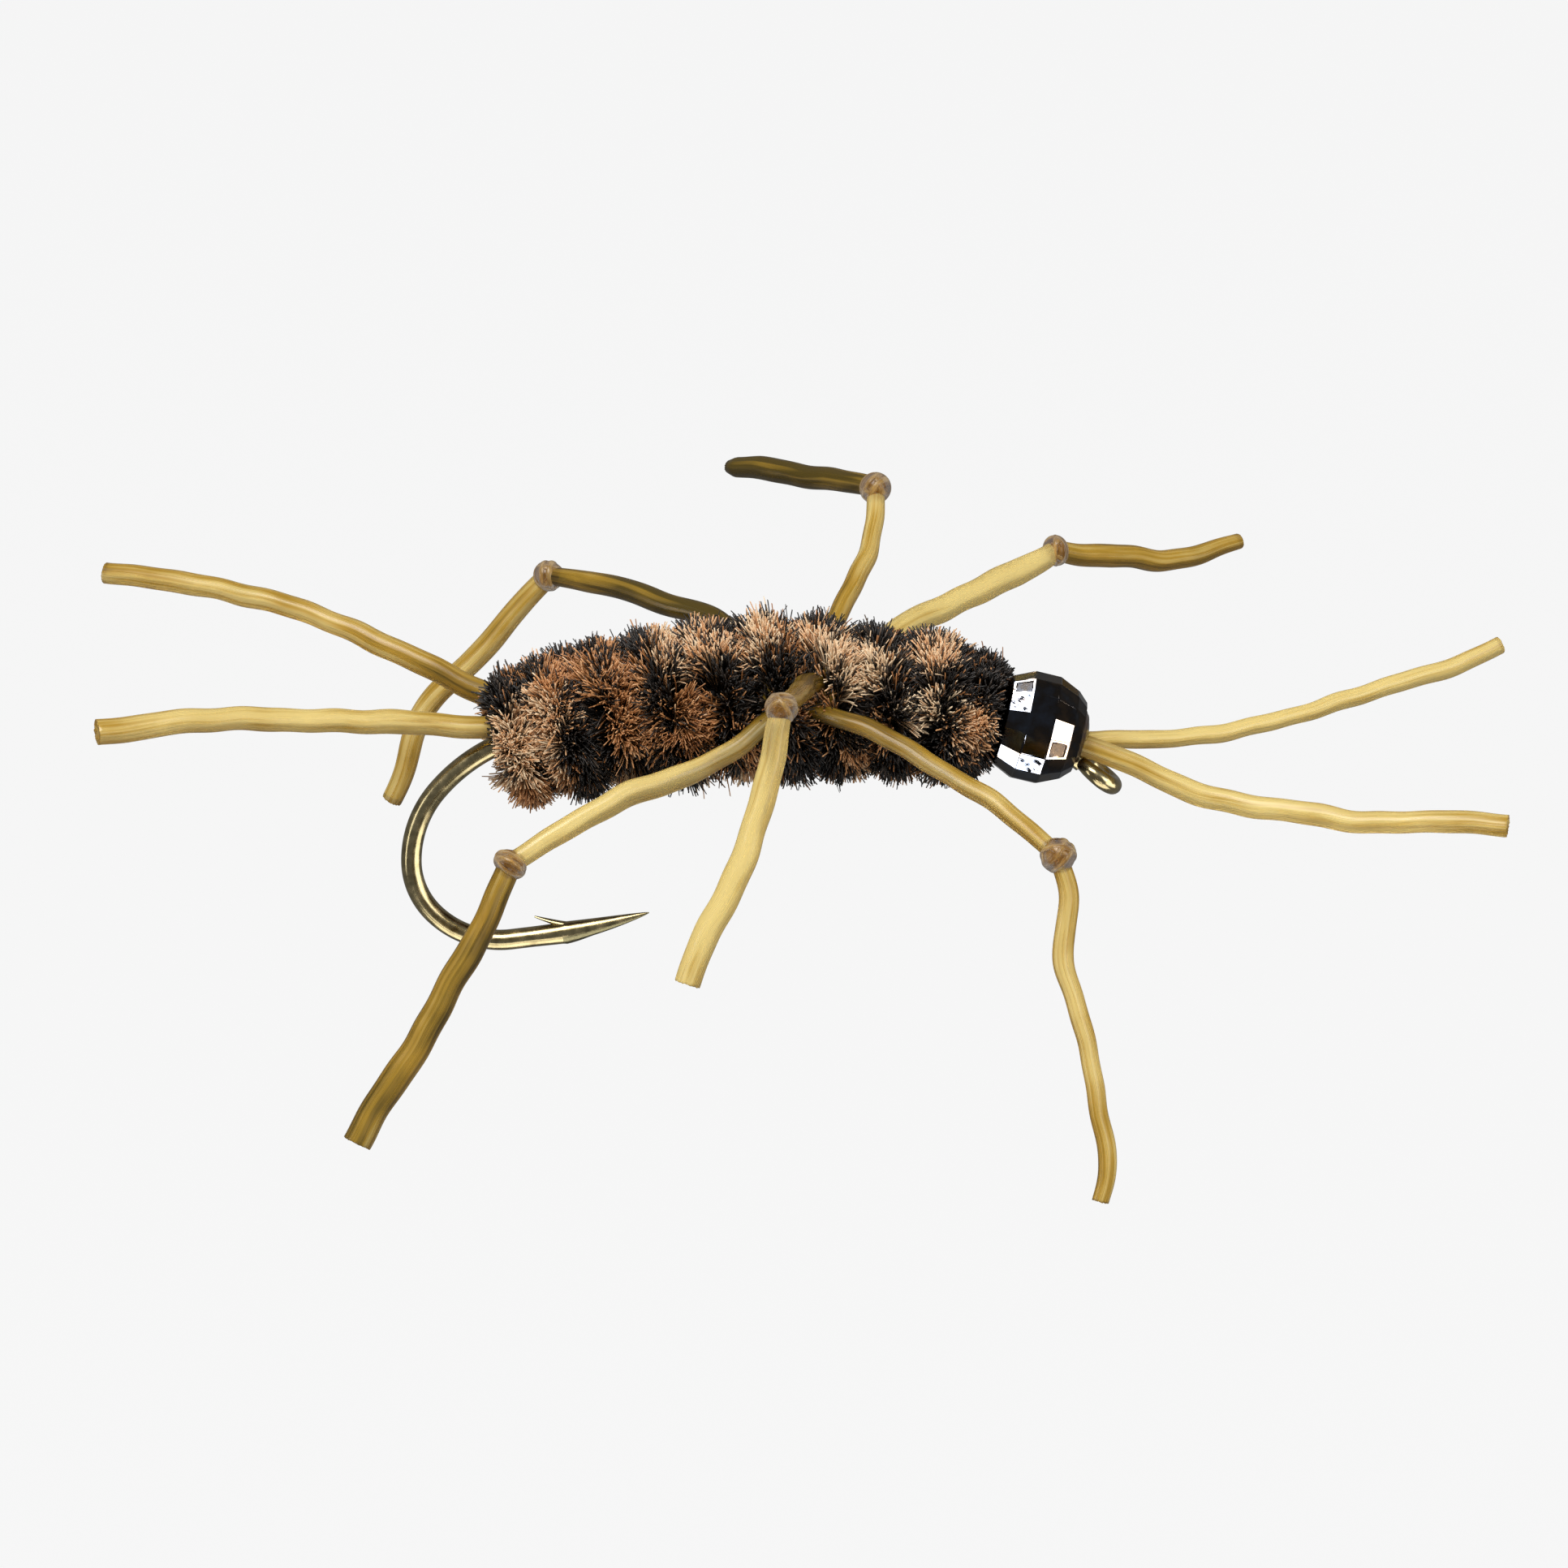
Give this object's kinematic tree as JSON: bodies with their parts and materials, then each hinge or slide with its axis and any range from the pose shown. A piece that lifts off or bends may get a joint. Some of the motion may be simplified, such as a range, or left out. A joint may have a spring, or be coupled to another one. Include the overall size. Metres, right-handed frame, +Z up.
{
  "type": "weighted nymph fly",
  "caption": "Weighted rubber-leg nymph fishing fly: long curved barbed hook, faceted bead head, wound two-colour chenille body, knotted floss legs, split tails and antennae.",
  "frame": {"origin": "centre of the hook eye's hole", "axes": "+X forward out of the eye along the fly's length, +Y to the fly's left side, +Z up towards its back; the hook lies in the XZ plane with its bend and point below"},
  "size_m": [0.0577, 0.0283, 0.0261],
  "materials": {
    "hook_wire": "polished bronze lacquer, satin where the point is ground",
    "bead_plating": "black nickel plate, mirror facets",
    "lead_wire": "dull grey lead-free wire",
    "chenille_fibre": "loose pile, copper brown and black",
    "chenille_thread": "twisted core thread, matt",
    "tying_thread": "waxed thread under clear head cement",
    "floss": "translucent golden-olive spandex floss with fine lengthwise filaments",
    "knot_floss": "the same floss pulled tight, darker amber"
  },
  "bodies": {
    "hook_and_body": {"hook": "hook_wire", "thread_base": "tying_thread", "thread_collar": "tying_thread", "weight_wire": "lead_wire", "chenille_core": "chenille_thread", "chenille_pile": "chenille_fibre", "bead": "bead_plating", "thread_head": "tying_thread", "tail_strand": "floss", "antenna_strand": "floss", "front_leg_strand": "floss", "middle_leg_strand": "floss", "rear_leg_strand": "floss"},
    "right_front_leg_upper_part": {"right_front_leg_upper": "floss", "right_front_leg_knot": "knot_floss"},
    "right_front_leg_lower_part": {"right_front_leg_lower": "floss"},
    "right_middle_leg_upper_part": {"right_middle_leg_upper": "floss", "right_middle_leg_knot": "knot_floss"},
    "right_middle_leg_lower_part": {"right_middle_leg_lower": "floss"},
    "right_rear_leg_upper_part": {"right_rear_leg_upper": "floss", "right_rear_leg_knot": "knot_floss"},
    "right_rear_leg_lower_part": {"right_rear_leg_lower": "floss"},
    "left_front_leg_upper_part": {"left_front_leg_upper": "floss", "left_front_leg_knot": "knot_floss"},
    "left_front_leg_lower_part": {"left_front_leg_lower": "floss"},
    "left_middle_leg_upper_part": {"left_middle_leg_upper": "floss", "left_middle_leg_knot": "knot_floss"},
    "left_middle_leg_lower_part": {"left_middle_leg_lower": "floss"},
    "left_rear_leg_upper_part": {"left_rear_leg_upper": "floss", "left_rear_leg_knot": "knot_floss"},
    "left_rear_leg_lower_part": {"left_rear_leg_lower": "floss"},
    "left_tail_part": {"left_tail": "floss"},
    "right_tail_part": {"right_tail": "floss"},
    "left_antenna_part": {"left_antenna": "floss"},
    "right_antenna_part": {"right_antenna": "floss"}
  },
  "joints": [
    {"name": "right_front_leg_swing", "type": "hinge", "parent": "hook_and_body", "child": "right_front_leg_upper_part", "pos_m": [-0.0109, -0.0031, 0.003], "axis": [0, 0, 1], "range_deg": [-25, 5], "stiffness_Nm_per_rad": 0.0001},
    {"name": "right_front_leg_knee", "type": "hinge", "parent": "right_front_leg_upper_part", "child": "right_front_leg_lower_part", "pos_m": [-0.0019, -0.0076, -0.0017], "axis": [0, 1, 0], "range_deg": [-25, 25], "stiffness_Nm_per_rad": 0.00003},
    {"name": "right_middle_leg_swing", "type": "hinge", "parent": "hook_and_body", "child": "right_middle_leg_upper_part", "pos_m": [-0.0117, -0.0028, 0.0043], "axis": [0, 0, 1], "range_deg": [-20, 20], "stiffness_Nm_per_rad": 0.0001},
    {"name": "right_middle_leg_knee", "type": "hinge", "parent": "right_middle_leg_upper_part", "child": "right_middle_leg_lower_part", "pos_m": [-0.0128, -0.011, 0.0049], "axis": [1, 0, 0], "range_deg": [-25, 25], "stiffness_Nm_per_rad": 0.00003},
    {"name": "right_rear_leg_swing", "type": "hinge", "parent": "hook_and_body", "child": "right_rear_leg_upper_part", "pos_m": [-0.0135, -0.00305, 0.0027], "axis": [0, 0, 1], "range_deg": [-3, 25], "stiffness_Nm_per_rad": 0.0001},
    {"name": "right_rear_leg_knee", "type": "hinge", "parent": "right_rear_leg_upper_part", "child": "right_rear_leg_lower_part", "pos_m": [-0.0235, -0.0074, -0.0021], "axis": [0, 1, 0], "range_deg": [-25, 25], "stiffness_Nm_per_rad": 0.00003},
    {"name": "left_front_leg_swing", "type": "hinge", "parent": "hook_and_body", "child": "left_front_leg_upper_part", "pos_m": [-0.0087, 0.0023, 0.0048], "axis": [0, 0, 1], "range_deg": [-5, 25], "stiffness_Nm_per_rad": 0.0001},
    {"name": "left_front_leg_knee", "type": "hinge", "parent": "left_front_leg_upper_part", "child": "left_front_leg_lower_part", "pos_m": [-0.0014, 0.0084, 0.0077], "axis": [0, 1, 0], "range_deg": [-25, 25], "stiffness_Nm_per_rad": 0.00003},
    {"name": "left_middle_leg_swing", "type": "hinge", "parent": "hook_and_body", "child": "left_middle_leg_upper_part", "pos_m": [-0.0108, 0.0023, 0.0051], "axis": [0, 0, 1], "range_deg": [-20, 20], "stiffness_Nm_per_rad": 0.0001},
    {"name": "left_middle_leg_knee", "type": "hinge", "parent": "left_middle_leg_upper_part", "child": "left_middle_leg_lower_part", "pos_m": [-0.0089, 0.0092, 0.0102], "axis": [0, 0, 1], "range_deg": [-25, 25], "stiffness_Nm_per_rad": 0.00003},
    {"name": "left_rear_leg_swing", "type": "hinge", "parent": "hook_and_body", "child": "left_rear_leg_upper_part", "pos_m": [-0.0148, 0.0024, 0.0049], "axis": [0, 0, 1], "range_deg": [-25, 5], "stiffness_Nm_per_rad": 0.0001},
    {"name": "left_rear_leg_knee", "type": "hinge", "parent": "left_rear_leg_upper_part", "child": "left_rear_leg_lower_part", "pos_m": [-0.0225, 0.0086, 0.0066], "axis": [0, 1, 0], "range_deg": [-25, 25], "stiffness_Nm_per_rad": 0.00003},
    {"name": "left_tail_sway", "type": "hinge", "parent": "hook_and_body", "child": "left_tail_part", "pos_m": [-0.0244, 0.0007, 0.003], "axis": [0, 0, 1], "range_deg": [-20, 5], "stiffness_Nm_per_rad": 0.00006},
    {"name": "right_tail_sway", "type": "hinge", "parent": "hook_and_body", "child": "right_tail_part", "pos_m": [-0.0245, -0.0008, 0.002], "axis": [0, 0, 1], "range_deg": [-5, 20], "stiffness_Nm_per_rad": 0.00006},
    {"name": "left_antenna_sway", "type": "hinge", "parent": "hook_and_body", "child": "left_antenna_part", "pos_m": [-0.00015, 0.00056, 0.00125], "axis": [0, 0, 1], "range_deg": [-3, 20], "stiffness_Nm_per_rad": 0.00006},
    {"name": "right_antenna_sway", "type": "hinge", "parent": "hook_and_body", "child": "right_antenna_part", "pos_m": [-0.00015, -0.00056, 0.00115], "axis": [0, 0, 1], "range_deg": [-20, 3], "stiffness_Nm_per_rad": 0.00006}
  ]
}
